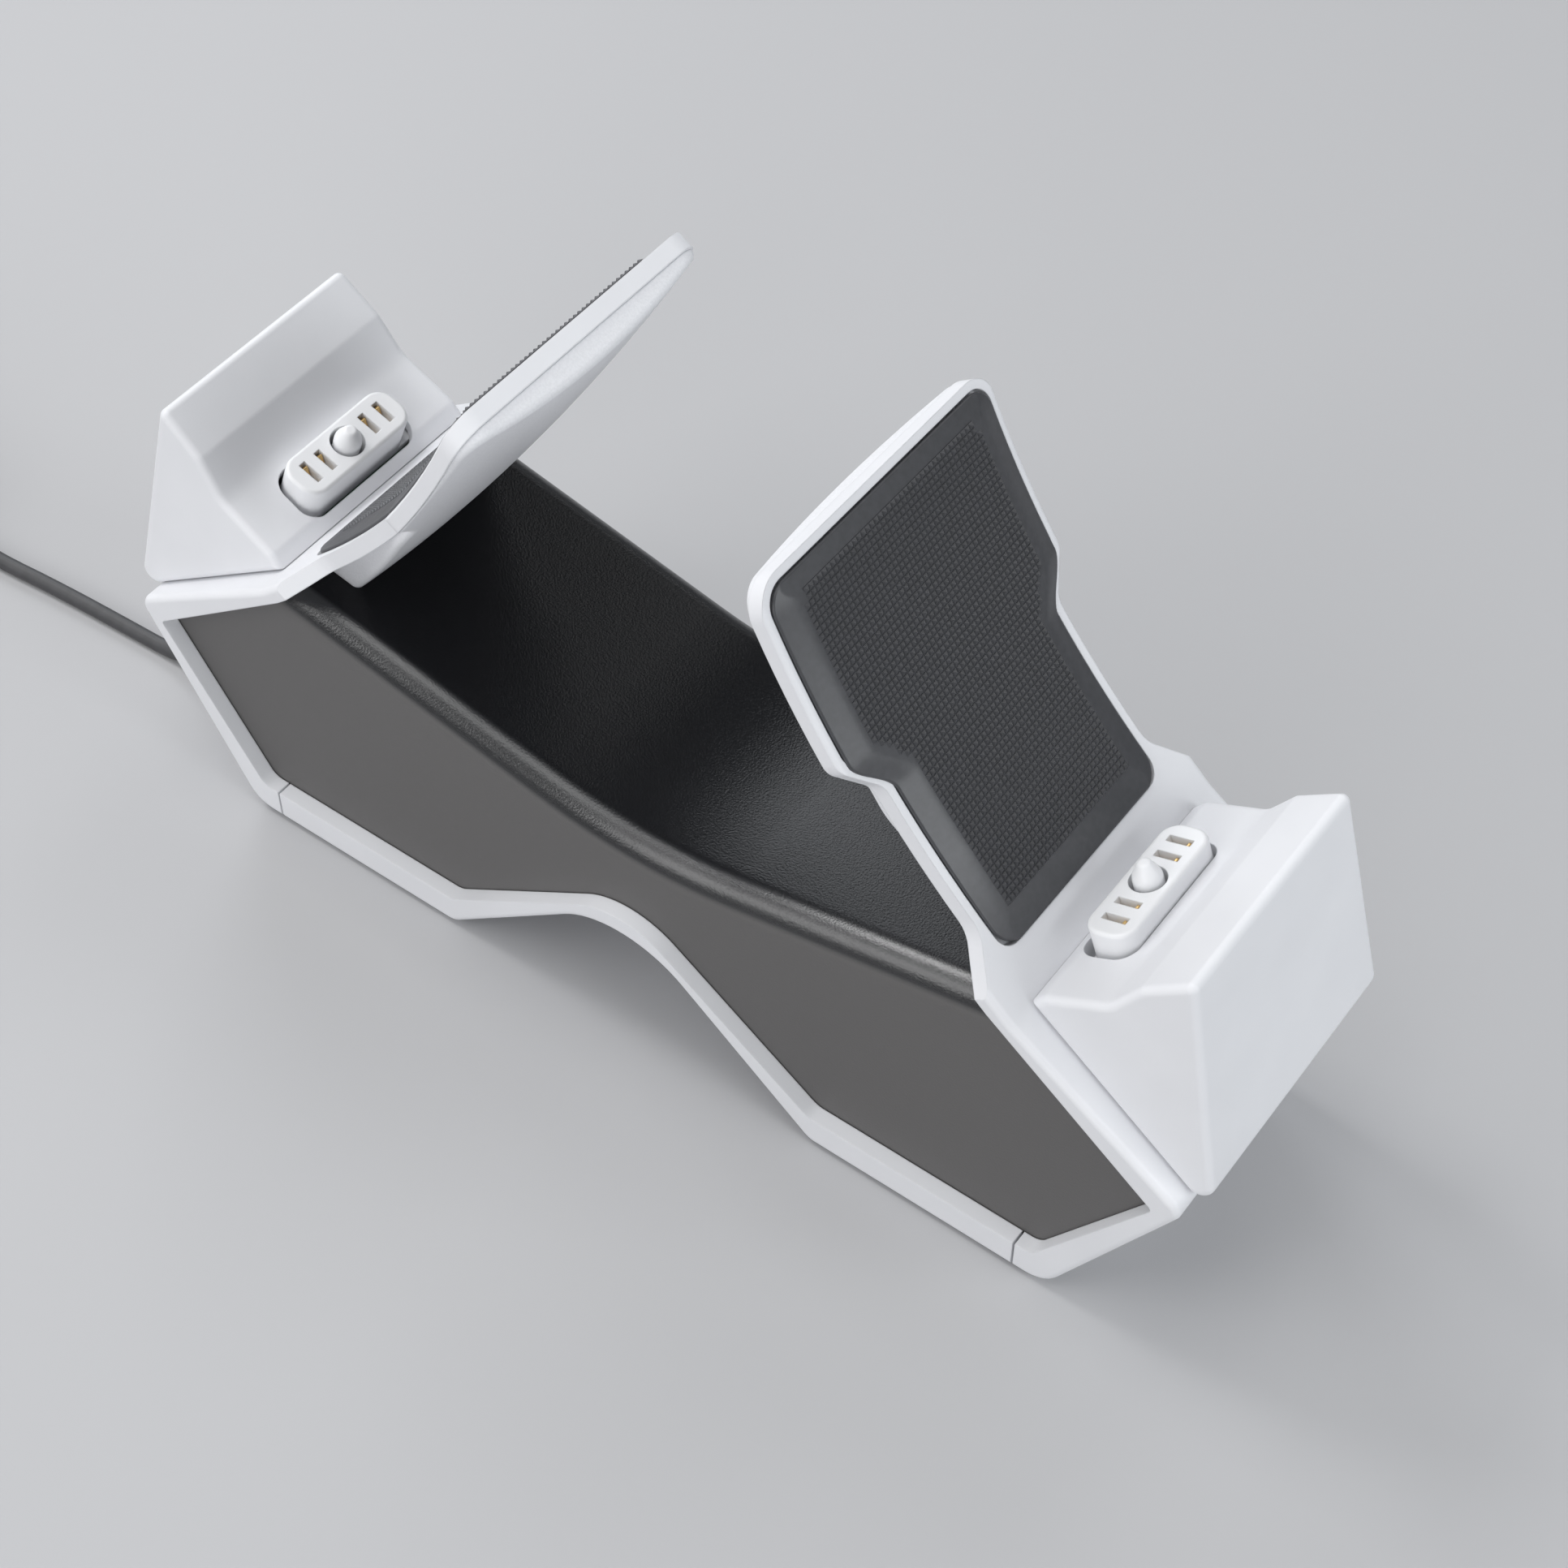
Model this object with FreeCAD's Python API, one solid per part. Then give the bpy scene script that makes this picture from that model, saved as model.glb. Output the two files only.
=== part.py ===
import FreeCAD, Part
import math
import os

# Charging dock for two game controllers, in millimetres.
# X runs from the left seat to the right seat, -Y is the front and +Z is up.
# Profiles are drawn in the XZ plane, measured from the underside of the base, and the finished
# pieces are lifted by the rubber feet at the end.

# Frame: a white band that runs under, round and over the dark housing
width = 59.0
skin = 2.2
arch_skin = 1.4
lip = 3.0
fit = 0.15
seam_gap = 0.4
edge_round = 1.3
lift = 0.7

# Base: two feet and the arch between them
foot_inner_x = 39.1
foot_inner_round = 4.0
foot_outer_x = 86.9
foot_outer_round = 6.5
seam_x = 80.5
band_height = 6.9
arch_top = 32.9
arch_round = 19.3
arch_inner_top = 34.9
arch_inner_round = 15.8

# Side frames: outer flank, tip and the sloping seat, with the inner line of their lips
flank_angle = 62.5
tip_z = 41.3
tip_round = 3.0
seat_angle = 34.0
bend_x = 75.5
bend_round = 12.0
inner_tip = (103.2, 38.5)
inner_tip_round = 1.0
inner_lip_angle = 37.85
inner_foot_x = 83.8
inner_foot_round = 3.0
tongue_half = 9.0
tongue_reach = 14.5
tongue_thick = 2.3
tongue_corner = 0.4

# Paddle: the curved rest behind each controller
paddle_low_angle = 42.7
paddle_top_angle = 66.2
paddle_radius = 177.3
paddle_straight = 8.0
paddle_length = 71.8
paddle_depth = 3.0
neck_half = 23.4
head_half = 29.15
neck_start = 5.4
flare_start = -2.6
flare_round = 6.0
notch_low = 33.1
notch_high = 39.8
notch_round = 4.0
head_round = 5.5

# Rubber pad in the paddle and the cover behind it
rim = 1.5
pad_depth = 1.8
pad_proud = 0.4
pad_raise = 1.6
pad_border = 4.6
pad_gap = 0.25
pad_corner = 3.0
cover_depth = 1.5
cover_angle = 55.6
cover_foot_x = 64.9
cover_foot_half = 17.0
cover_inset = 0.4
cover_edge = 1.2
cover_radius = 500.0
cover_crown = 3.0
cover_corner = 20.0
cover_ease = 6.0

# Centre housing
valley_z = 45.9
valley_round = 90.0
valley_angle = 12.3
shoulder_round = 5.0
housing_wall = 2.0

# Cradle: the white block in front of each connector
cradle_top_half = 22.6
cradle_draft = 4.2
cradle_wall = 2.2
cradle_lip = (100.5, 86.4)
cradle_crease = (92.2, 79.4)
cradle_hollow = (87.9, 72.4)
cradle_step = (77.4, 66.3)
cradle_end_angle = 76.4
cradle_edge = 1.4
cradle_boss = 5.8
boss_reach = 40.0
cradle_heel = 2.9

# Connector block with its guide post and contacts
plug_centre = (80.4, 72.8)
plug_tilt = 20.0
plug_length = 26.0
plug_width = 8.6
plug_corner = 3.4
plug_depth = 9.0
plug_edge = 0.7
flange_length = 30.4
flange_thick = 1.4
post_hole = 6.2
post_size = 4.9
post_height = 3.6
slot_length = 4.4
slot_width = 1.4
slot_places = (5.6, 9.25)
contact_thick = 0.4
contact_width = 1.0
board_thick = 1.2
opening_ends = 0.9
opening_room = 10.0
opening_inner = 1.3
opening_outer = 0.25
wire_opening = (6.0, 16.0)
wire_depth = 25.0

# Screws, rubber feet and the charging board
screw_size = 2.9
screw_head = 5.6
screw_length = 9.0
screw_sink = 0.3
screw_play = 0.1
base_screws = (47.0, 74.0)
boss_size = 7.0
cradle_screw_x = 96.0
cradle_screw_y = 20.4
cradle_screw_head = 1.5
cradle_screw_reach = 5.0
feet_place = (60.5, 19.5)
feet_size = (24.0, 9.0)
feet_recess = 0.9
main_board_size = (52.0, 34.0)
main_board_thick = 1.6
main_board_z = 36.0
main_board_edge = 5.0
post_pin = 2.4

# Power lead, its sleeve on the left flank and the coil of its unused length
lead_size = 3.0
sleeve_place = (-11.7, 14.5)
sleeve_length = 16.0
sleeve_neck = 6.2
sleeve_end = 4.8
sleeve_collar = (8.8, 1.4)
sleeve_flange = (9.0, 1.6)
sleeve_rings = 5
lead_points = [(-137.0, -12.2), (-156.0, -13.0), (-174.0, -14.6), (-187.5, -12.0)]
coil_centre = (-212.0, -28.0)
coil_middle = 33.0
coil_rows = 4
coil_slack = (0.6, 0.4)
coil_corner = 1.5
coil_entry = 4.0
tie_width = 3.6
tie_thick = 0.7
plug_run = [(-229.0, -54.6), (-218.6, -65.0), (-203.8, -65.0)]
plug_body = (15.6, 24.0, 8.2)
plug_body_round = 1.5
plug_shell = (12.0, 12.0, 4.5)
plug_shell_wall = 0.4
plug_tongue = (11.0, 8.5, 1.8)

half = width / 2
inside_half = half - lip


def vec(x, y, z):
    return FreeCAD.Vector(x, y, z)


def heading(angle):
    """Unit direction in a drawing plane at the angle from its first axis."""
    return (math.cos(math.radians(angle)), math.sin(math.radians(angle)))


def along(point, direction, distance):
    return (point[0] + direction[0] * distance, point[1] + direction[1] * distance)


def meet(p, u, q, v):
    """Where the line through p along u crosses the line through q along v."""
    cross = u[0] * v[1] - u[1] * v[0]
    reach = ((q[0] - p[0]) * v[1] - (q[1] - p[1]) * v[0]) / cross
    return along(p, u, reach)


def rounded(corners, place):
    """Closed wire through (a, b) or (a, b, radius) corners, each radius a tangent arc."""
    edges = []
    ends = []
    count = len(corners)
    for i in range(count):
        here = corners[i]
        before = corners[i - 1]
        after = corners[(i + 1) % count]
        if len(here) == 2 or here[2] <= 0:
            ends.append((place(here[0], here[1]), None, place(here[0], here[1])))
            continue
        back = math.hypot(before[0] - here[0], before[1] - here[1])
        ahead = math.hypot(after[0] - here[0], after[1] - here[1])
        u = ((before[0] - here[0]) / back, (before[1] - here[1]) / back)
        v = ((after[0] - here[0]) / ahead, (after[1] - here[1]) / ahead)
        inside = math.acos(max(-1.0, min(1.0, u[0] * v[0] + u[1] * v[1])))
        reach = here[2] / math.tan(inside / 2)
        middle = here[2] / math.sin(inside / 2) - here[2]
        bisect = math.hypot(u[0] + v[0], u[1] + v[1])
        w = ((u[0] + v[0]) / bisect, (u[1] + v[1]) / bisect)
        ends.append([place(*point) for point in (along(here, u, reach), along(here, w, middle),
                                                 along(here, v, reach))])
    for i in range(count):
        start, mid, stop = ends[i]
        if mid is not None:
            edges.append(Part.Arc(start, mid, stop).toShape())
        follow = ends[(i + 1) % count][0]
        if (follow - stop).Length > 1e-6:
            edges.append(Part.LineSegment(stop, follow).toShape())
    return Part.Wire(edges)


def slab(corners, half_thick):
    """A profile in the XZ plane, thickened to both sides of y = 0."""
    wire = rounded(corners, lambda x, z: vec(x, -half_thick, z))
    return Part.Face(wire).extrude(vec(0, 2 * half_thick, 0))


def plate(corners, low, high):
    """An outline in the XY plane, thickened from one height to another."""
    wire = rounded(corners, lambda x, y: vec(x, y, low))
    return Part.Face(wire).extrude(vec(0, 0, high - low))


def bar(x_low, x_high, y_low, y_high, corner, low, high):
    return plate([(x_low, y_low, corner), (x_high, y_low, corner), (x_high, y_high, corner),
                  (x_low, y_high, corner)], low, high)


def turned(corners):
    """A solid of revolution about Z from (radius, height) corners."""
    wire = rounded(corners, lambda r, z: vec(r, 0, z))
    return Part.Face(wire).revolve(vec(0, 0, 0), vec(0, 0, 1), 360)


def inset(corners, gap):
    """The same outline moved inwards by gap, its roundings kept concentric."""
    count = len(corners)
    area = sum(corners[i - 1][0] * corners[i][1] - corners[i][0] * corners[i - 1][1] for i in range(count))
    turn = 1.0 if area > 0 else -1.0
    moved = []
    for i in range(count):
        p = corners[i - 1]
        q = corners[i]
        r = corners[(i + 1) % count]
        first = math.hypot(q[0] - p[0], q[1] - p[1])
        second = math.hypot(r[0] - q[0], r[1] - q[1])
        u = ((q[0] - p[0]) / first, (q[1] - p[1]) / first)
        v = ((r[0] - q[0]) / second, (r[1] - q[1]) / second)
        a = along(p, (-u[1] * turn, u[0] * turn), gap)
        b = along(q, (-v[1] * turn, v[0] * turn), gap)
        corner = meet(a, u, b, v)
        radius = q[2] if len(q) > 2 else 0.0
        if radius > 0:
            convex = (u[0] * v[1] - u[1] * v[0]) * turn > 0
            radius = max(radius - gap, 0.3) if convex else radius + gap
        moved.append((corner[0], corner[1], radius))
    return moved


def both_sides(corners):
    """An outline from right-hand corners, those off the middle repeated on the left."""
    left = [(-c[0],) + tuple(c[1:]) for c in reversed(corners) if c[0] > 1e-6]
    return list(corners) + left


def mirrored(shape):
    return shape.mirror(vec(0, 0, 0), vec(1, 0, 0))


def round_edges(shape, radius, test):
    return shape.makeFillet(radius, [edge for edge in shape.Edges if test(edge)])


def runs_at(edge, half_thick):
    """True for an edge that lies in one of the two planes y = half_thick and y = -half_thick."""
    box = edge.BoundBox
    return abs(abs(box.Center.y) - half_thick) < 1e-3 and box.YLength < 1e-3


# Lines that the frame, the housing and the cradle share
flank_dir = heading(flank_angle)
seat_dir = heading(180.0 - seat_angle)
low_dir = heading(180.0 - paddle_low_angle)
top_dir = heading(180.0 - paddle_top_angle)
lip_dir = heading(180.0 - inner_lip_angle)
valley_dir = heading(valley_angle)
seat_out = (seat_dir[1], -seat_dir[0])
low_in = (-low_dir[1], low_dir[0])
top_in = (-top_dir[1], top_dir[0])
foot_corner = (foot_outer_x, 0.0)
tip_corner = meet(foot_corner, flank_dir, (0.0, tip_z), (1.0, 0.0))
bend = meet(tip_corner, seat_dir, (bend_x, 0.0), (0.0, 1.0))
curve_reach = paddle_radius * math.tan(math.radians(paddle_top_angle - paddle_low_angle) / 2)
pad_foot = along(bend, low_dir, paddle_straight)
curve_corner = along(pad_foot, low_dir, curve_reach)
curve_end = along(curve_corner, top_dir, curve_reach)
paddle_top = along(curve_end, top_dir, lip)
arch_slope = math.atan(arch_top / foot_inner_x)
seam_in = seam_x + seam_gap / 2
seam_out = seam_x - seam_gap / 2


def behind(depth):
    """Foot, curve corner and top of the paddle's face, moved back by depth."""
    foot = along(bend, low_in, depth)
    end = along(paddle_top, top_in, depth)
    corner = meet(foot, low_dir, end, top_dir)
    return foot, corner + (paddle_radius + depth,), end


# The paddle's outline is drawn in the plane of its chord and pushed through square to it
chord = math.hypot(curve_end[0] - pad_foot[0], curve_end[1] - pad_foot[1])
chord_dir = ((curve_end[0] - pad_foot[0]) / chord, (curve_end[1] - pad_foot[1]) / chord)
chord_out = (chord_dir[1], -chord_dir[0])
push = 70.0
housing_reach = 22.0


def chord_prism(corners):
    """A solid square to the paddle's chord, from (distance up the chord, y) corners."""
    def place(t, y):
        x, z = along(along(pad_foot, chord_dir, t), chord_out, -push)
        return vec(x, y, z)
    wire = rounded(corners, place)
    return Part.Face(wire).extrude(vec(chord_out[0] * 2 * push, 0, chord_out[1] * 2 * push))


push_dir = vec(chord_out[0], 0, chord_out[1])


def middle_normal(face):
    """The outward normal in the middle of a face."""
    low_u, high_u, low_v, high_v = face.ParameterRange
    return face.normalAt((low_u + high_u) / 2, (low_v + high_v) / 2)


def facing(shape, sign):
    """The faces of a shape that look out of the paddle's front, or with sign -1 out of its back."""
    return [face for face in shape.Faces if middle_normal(face).dot(push_dir) * sign > 0.5]


def across(corners):
    """An outline from its corners on the +y side, repeated on the -y side."""
    return list(corners) + [(c[0], -c[1]) + tuple(c[2:]) for c in reversed(corners)]


def paddle_outline(inwards, start):
    """The paddle's outline, moved inwards, from the start distance up."""
    slope = (head_half - neck_half) / (notch_high - notch_low)
    shift = inwards * math.tan(math.atan(slope) / 2)
    return [
        (start, neck_half - inwards, pad_corner),
        (notch_low + shift, neck_half - inwards, notch_round),
        (notch_high + shift, head_half - inwards, notch_round),
        (paddle_length - inwards, head_half - inwards, max(head_round - inwards, pad_border / 4)),
    ]


def layer(front, back):
    """The layer of the paddle between two depths behind its face."""
    foot_a, corner_a, end_a = behind(front)
    foot_b, corner_b, end_b = behind(back)
    return slab([foot_a, corner_a, end_a, end_b, corner_b, foot_b], half + lip)


def inside_corners(gap):
    """Right-hand corners of the room inside the frame, from the valley to the arch, shrunk by gap."""
    room = inset([foot_corner, tip_corner, bend, (0.0, bend[1]), (0.0, 0.0)], skin + gap)
    ridge = (0.0, valley_z + fit - gap)
    return [
        ridge + (valley_round,),
        meet(ridge, valley_dir, room[1], seat_dir),
        (room[1][0], room[1][1], inner_tip_round),
        (room[0][0], room[0][1], foot_outer_round - skin),
        meet((0.0, skin + gap), (1.0, 0.0), (0.0, arch_top + (arch_skin + gap) / math.cos(arch_slope)),
             heading(-math.degrees(arch_slope))) + (foot_inner_round - arch_skin,),
        (0.0, arch_top + (arch_skin + gap) / math.cos(arch_slope), arch_round + arch_skin + gap),
    ]


def inside_outline(gap):
    """The whole outline of that room, the arch's corner in its place between the feet."""
    corners = inside_corners(gap)
    outline = both_sides(corners[:-1])
    outline.insert(len(corners) - 1, corners[-1])
    return outline


def seat_point(x, height):
    """A point over the seat's slope at x, at a height square to it."""
    return along(meet(bend, seat_dir, (x, 0.0), (0.0, 1.0)), seat_out, height)


def seat_turned(corners, x, y):
    """A solid of revolution from (radius, height) corners, square to the seat's slope at x."""
    shape = turned(corners)
    shape.rotate(vec(0, 0, 0), vec(0, 1, 0), seat_angle)
    base = seat_point(x, 0.0)
    shape.translate(vec(base[0], y, base[1]))
    return shape


def in_connector(shape):
    """Puts a shape drawn about the connector's top face where the connector is."""
    shape.rotate(vec(0, 0, 0), vec(0, 1, 0), -plug_tilt)
    shape.translate(vec(plug_centre[0], 0, plug_centre[1]))
    return shape


def base_screw(x, play):
    """A countersunk screw from below, or the hole for it where there is play."""
    head = screw_head / 2 + play
    shank = screw_size / 2 + play
    low = -lift if play > 0 else 0.0
    top = screw_length + play
    shape = turned([(0.0, low), (head, low), (head, screw_sink), (shank, screw_sink + head - shank),
                    (shank, top), (0.0, top)])
    shape.translate(vec(x, 0, 0))
    return shape


def cradle_screw(y, play):
    """A pan head screw under the seat, up into the cradle, or the space for it."""
    head = screw_head / 2 + play
    shank = screw_size / 2 + play
    under = -skin - cradle_screw_head - play
    reach = cradle_screw_reach + play
    return seat_turned([(0.0, under), (head, under), (head, -skin), (shank, -skin), (shank, reach),
                        (0.0, reach)], cradle_screw_x, y)


def wire_room():
    """The opening for the wires through the seat and the housing, under the connector."""
    return in_connector(bar(-wire_opening[0] / 2, wire_opening[0] / 2, -wire_opening[1] / 2,
                            wire_opening[1] / 2, 1.5, -plug_depth - wire_depth, -plug_depth - board_thick))


def feet_corners(sx, sy, size):
    """A bar with round ends, as the rubber feet and their recesses are."""
    x = sx * feet_place[0]
    y = sy * feet_place[1]
    corner = size[1] / 2 - 0.5
    return [(x - size[0] / 2, y - size[1] / 2, corner), (x + size[0] / 2, y - size[1] / 2, corner),
            (x + size[0] / 2, y + size[1] / 2, corner), (x - size[0] / 2, y + size[1] / 2, corner)]


corner_signs = [(-1, -1), (1, -1), (1, 1), (-1, 1)]


def board_corner(sx, sy):
    x = main_board_size[0] / 2 - main_board_edge
    y = main_board_size[1] / 2 - main_board_edge
    return (sx * x, sy * y)


def base_shell():
    """White base: both feet and the arch, a floor with a low lip along the front and the back."""
    under = [
        (0.0, arch_top, arch_round),
        (foot_inner_x, 0.0, foot_inner_round),
        (seam_out, 0.0),
        (seam_out, arch_top + arch_round),
    ]
    shape = slab(both_sides(under), half)
    shape = round_edges(shape, edge_round, lambda e: runs_at(e, half) and e.BoundBox.ZMax < arch_top
                        and e.BoundBox.XLength > 0.1)
    above = both_sides([
        (0.0, arch_inner_top, arch_inner_round),
        (foot_inner_x, band_height, foot_inner_round),
        (seam_x + lip, band_height),
        (seam_x + lip, arch_top + arch_round + lip),
    ])
    shape = shape.cut(slab(above, width))
    shape = shape.cut(slab(inside_outline(0.0), inside_half))
    below = both_sides([(0.0, arch_top, arch_round), (foot_inner_x, 0.0, foot_inner_round),
                        (foot_outer_x, 0.0), (foot_outer_x, -lip)])
    for sx, sy in corner_signs:
        shape = shape.cut(plate(feet_corners(sx, sy, feet_size), -lift, feet_recess))
        x, y = board_corner(sx, sy)
        stand = Part.makeCylinder(boss_size / 2, main_board_z, vec(x, y, 0))
        pin = Part.makeCylinder(post_pin / 2, main_board_z + main_board_thick + 0.6, vec(x, y, 0))
        shape = shape.fuse(stand.fuse(pin).cut(slab(below, half)))
    for sx in (-1, 1):
        for place in base_screws:
            shape = shape.cut(base_screw(sx * place, screw_play))
    return shape.removeSplitter()


def side_frame():
    """White side frame: foot corner, flank, tip and seat, and the paddle with its rim."""
    foot, corner, end = behind(paddle_depth)
    inner_bend = meet(foot, low_dir, inner_tip, lip_dir)
    back_top = along(paddle_top, top_in, housing_reach)
    block = slab([
        (seam_in, 0.0),
        foot_corner + (foot_outer_round,),
        tip_corner + (tip_round,),
        bend + (bend_round,),
        curve_corner + (paddle_radius,),
        paddle_top,
        back_top,
        (back_top[0], arch_top),
        (seam_in, arch_top),
    ], half)
    shape = round_edges(block, edge_round, lambda e: runs_at(e, half) and e.BoundBox.XLength > 0.1
                        and e.BoundBox.XMin > paddle_top[0] - 0.1)
    shape = shape.cut(slab([
        along(end, top_dir, lip),
        corner,
        inner_bend,
        inner_tip + (inner_tip_round,),
        (inner_foot_x, band_height, inner_foot_round),
        (0.0, band_height),
        (0.0, paddle_top[1] + lip),
    ], width))
    shape = shape.common(chord_prism(across(
        [(-80.0, width), (flare_start, width), (flare_start, half), (neck_start, neck_half, flare_round)]
        + paddle_outline(0.0, 0.0)[1:])))
    shape = shape.cut(slab(inside_outline(0.0), inside_half))
    shape = shape.cut(pad_body(-lip, 0.0))
    seam_step = seam_in + skin
    tongue_end = seam_step + skin / 2
    tongue = bar(seam_x - tongue_reach, tongue_end, -tongue_half, tongue_half, tongue_corner,
                 skin + screw_play, skin + tongue_thick)
    root = bar(seam_step, tongue_end, -tongue_half, tongue_half, screw_play, skin / 2, skin + tongue_thick)
    shape = shape.fuse(tongue).fuse(root)
    shape = shape.cut(base_screw(base_screws[1], screw_play))
    for sy in (-1, 1):
        shape = shape.fuse(connector_stand(sy))
        shape = shape.cut(cradle_screw(sy * cradle_screw_y, screw_play))
    return shape.cut(wire_room()).removeSplitter()


def connector_stand(sy):
    """A short post on the seat under one end of the connector's board."""
    y = sy * (plug_length + flange_length) / 4
    post = in_connector(bar(-plug_width / 4, plug_width / 4, y - 1.0, y + 1.0, 0.3,
                            -plug_depth - wire_depth, -plug_depth - board_thick))
    near = seat_point(bend_x, -skin / 2)
    far = seat_point(foot_outer_x, -skin / 2)
    return post.common(slab([near, far, (far[0], plug_centre[1]), (near[0], plug_centre[1])], half))


def pad_body(front, gap):
    """The rubber pad from its front face, or the recess for it where there is no gap."""
    outline = across(paddle_outline(rim + gap, gap))
    return layer(front, pad_depth).common(chord_prism(outline))


def grip_pad():
    """Rubber pad: it stands proud of the rim and slopes up from its edge to a raised field."""
    step = pad_body(-pad_proud, pad_gap)
    field = layer(-pad_proud - pad_raise, pad_depth).common(chord_prism(across(paddle_outline(
        rim + pad_border, pad_border))))
    low = facing(step, 1.0)[0]
    high = facing(field, 1.0)[0]
    sides = Part.makeLoft([low.OuterWire, high.OuterWire], False, True)
    shell = Part.Shell(sides.Faces + [low, high])
    shell.sewShape()
    return step.fuse(Part.Solid(shell)).removeSplitter()


def crowned_wheel(top, foot):
    """A wheel about a line along Y whose rim passes through two points at the paddle's edge.

    The rim is crowned, so that the cover cut from it is fuller in its middle.
    """
    span = math.hypot(top[0] - foot[0], top[1] - foot[1])
    up = ((top[0] - foot[0]) / span, (top[1] - foot[1]) / span)
    hub = along(along(foot, up, span / 2), (up[1], -up[0]), math.sqrt(cover_radius ** 2 - (span / 2) ** 2))
    inner = cover_radius - push
    corners = [vec(cover_radius, 0, head_half), vec(inner, 0, head_half), vec(inner, 0, -head_half),
               vec(cover_radius, 0, -head_half)]
    edges = [Part.LineSegment(p, q).toShape() for p, q in zip(corners[:-1], corners[1:])]
    edges.append(Part.Arc(corners[3], vec(cover_radius + cover_crown, 0, 0), corners[0]).toShape())
    wheel = Part.Face(Part.Wire(edges)).revolve(vec(0, 0, 0), vec(0, 0, 1), 360)
    wheel.rotate(vec(0, 0, 0), vec(1, 0, 0), -90)
    wheel.translate(vec(hub[0], 0, hub[1]))
    return wheel


def paddle_cover():
    """White back cover of the paddle: crowned, and thicker at its foot, where it stands on the housing."""
    foot, corner, end = behind(paddle_depth)
    edge_top = behind(paddle_depth + cover_depth)[2]
    far_top = behind(paddle_depth + cover_depth + 2 * cover_crown)[2]
    stand = meet((0.0, valley_z), valley_dir, (cover_foot_x, 0.0), (0.0, 1.0))
    inwards = (-valley_dir[0], -valley_dir[1])
    far_stand = along(stand, inwards, 2 * cover_crown)
    under = along(inner_tip, (-lip_dir[1], lip_dir[0]), fit)
    ledge = meet((0.0, valley_z), valley_dir, under, lip_dir)
    inner_bend = meet(foot, low_dir, under, lip_dir)
    back = meet(far_stand, heading(180.0 - cover_angle), far_top, top_dir)
    shape = slab([far_stand, ledge, inner_bend, corner, end, far_top, back], head_half)
    share = cover_crown * (1.0 - (cover_foot_half / head_half) ** 2)
    shape = shape.common(crowned_wheel(edge_top, along(stand, chord_out, share)))
    outline = across([
        (-cover_corner, cover_foot_half),
        (0.0, cover_foot_half, cover_corner),
        (notch_low - cover_ease, neck_half - cover_inset, cover_corner),
    ] + paddle_outline(cover_inset, 0.0)[1:])
    shape = shape.common(chord_prism(outline))
    walls = [face for face in shape.Faces if abs(middle_normal(face).dot(push_dir)) < 0.05]
    rims = [edge for wall in walls for edge in wall.Edges]
    around = [edge for back in facing(shape, -1.0) for edge in back.Edges
              if any(edge.isSame(other) for other in rims)]
    return shape.makeFillet(cover_edge, around)


def centre_housing():
    """Dark housing: a hollow cover with a shallow valley along its top and soft shoulders."""
    outer_half = inside_half - fit
    outline = inside_outline(fit)
    shape = slab(outline, outer_half)
    shape = round_edges(shape, shoulder_round, lambda e: runs_at(e, outer_half) and on_top(e))
    inner = inset(outline, housing_wall)
    room = inner[:4] + [(inner[3][0], -lip)]
    hollow = slab(both_sides(room), outer_half - housing_wall)
    hollow = round_edges(hollow, shoulder_round - housing_wall,
                         lambda e: runs_at(e, outer_half - housing_wall) and on_top(e))
    shape = shape.cut(hollow)
    for sx in (-1, 1):
        for place, low in zip(base_screws, (skin + fit, skin + tongue_thick)):
            boss = Part.makeCylinder(boss_size / 2, valley_z + tip_z, vec(sx * place, 0, low))
            shape = shape.fuse(boss.common(slab(outline, half)))
            shape = shape.cut(base_screw(sx * place, screw_play))
    for sy in (-1, 1):
        room = screw_head / 2 + fit * 4
        space = seat_turned([(0.0, -skin * 3), (room, -skin * 3), (room, 0.0), (0.0, 0.0)],
                            cradle_screw_x, sy * cradle_screw_y)
        shape = shape.cut(space).cut(mirrored(space))
    shape = shape.cut(wire_room()).cut(mirrored(wire_room()))
    return shape.removeSplitter()


def on_top(edge):
    """True for the edges along the housing's valley."""
    c = edge.CenterOfMass
    line = valley_z - housing_wall * 2 + abs(c.x) * math.tan(math.radians(valley_angle))
    return c.z > line and edge.BoundBox.XLength > 5.0


def cradle_corners():
    """The cradle's profile: seat, step, hollow, crease, lip and end."""
    start = seat_point(bend[0], fit)
    heel = meet(cradle_lip, heading(-cradle_end_angle), start, seat_dir)
    return [
        start,
        cradle_step + (2.0,),
        cradle_hollow + (6.0,),
        cradle_crease + (2.5,),
        cradle_lip + (1.2,),
        heel + (2.6,),
    ]


def tapered(top_half):
    """A long block across the dock that narrows upwards, for the cradle's sides."""
    high = cradle_lip[1] + skin
    spread = math.tan(math.radians(cradle_draft))
    wide = top_half + cradle_lip[1] * spread
    narrow = top_half - skin * spread
    wire = Part.makePolygon([vec(0, -wide, 0), vec(0, wide, 0), vec(0, narrow, high), vec(0, -narrow, high),
                             vec(0, -wide, 0)])
    return Part.Face(wire).extrude(vec(foot_outer_x * 2, 0, 0))


def side_edge(edge):
    """True for the long edges of the cradle's two tapered sides, apart from the seated one."""
    c = edge.CenterOfMass
    if abs(c.y) < cradle_top_half - 1.0 or edge.BoundBox.YLength > 10.0:
        return False
    return c.z > meet(bend, seat_dir, (c.x, 0.0), (0.0, 1.0))[1] + skin / 2


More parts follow.
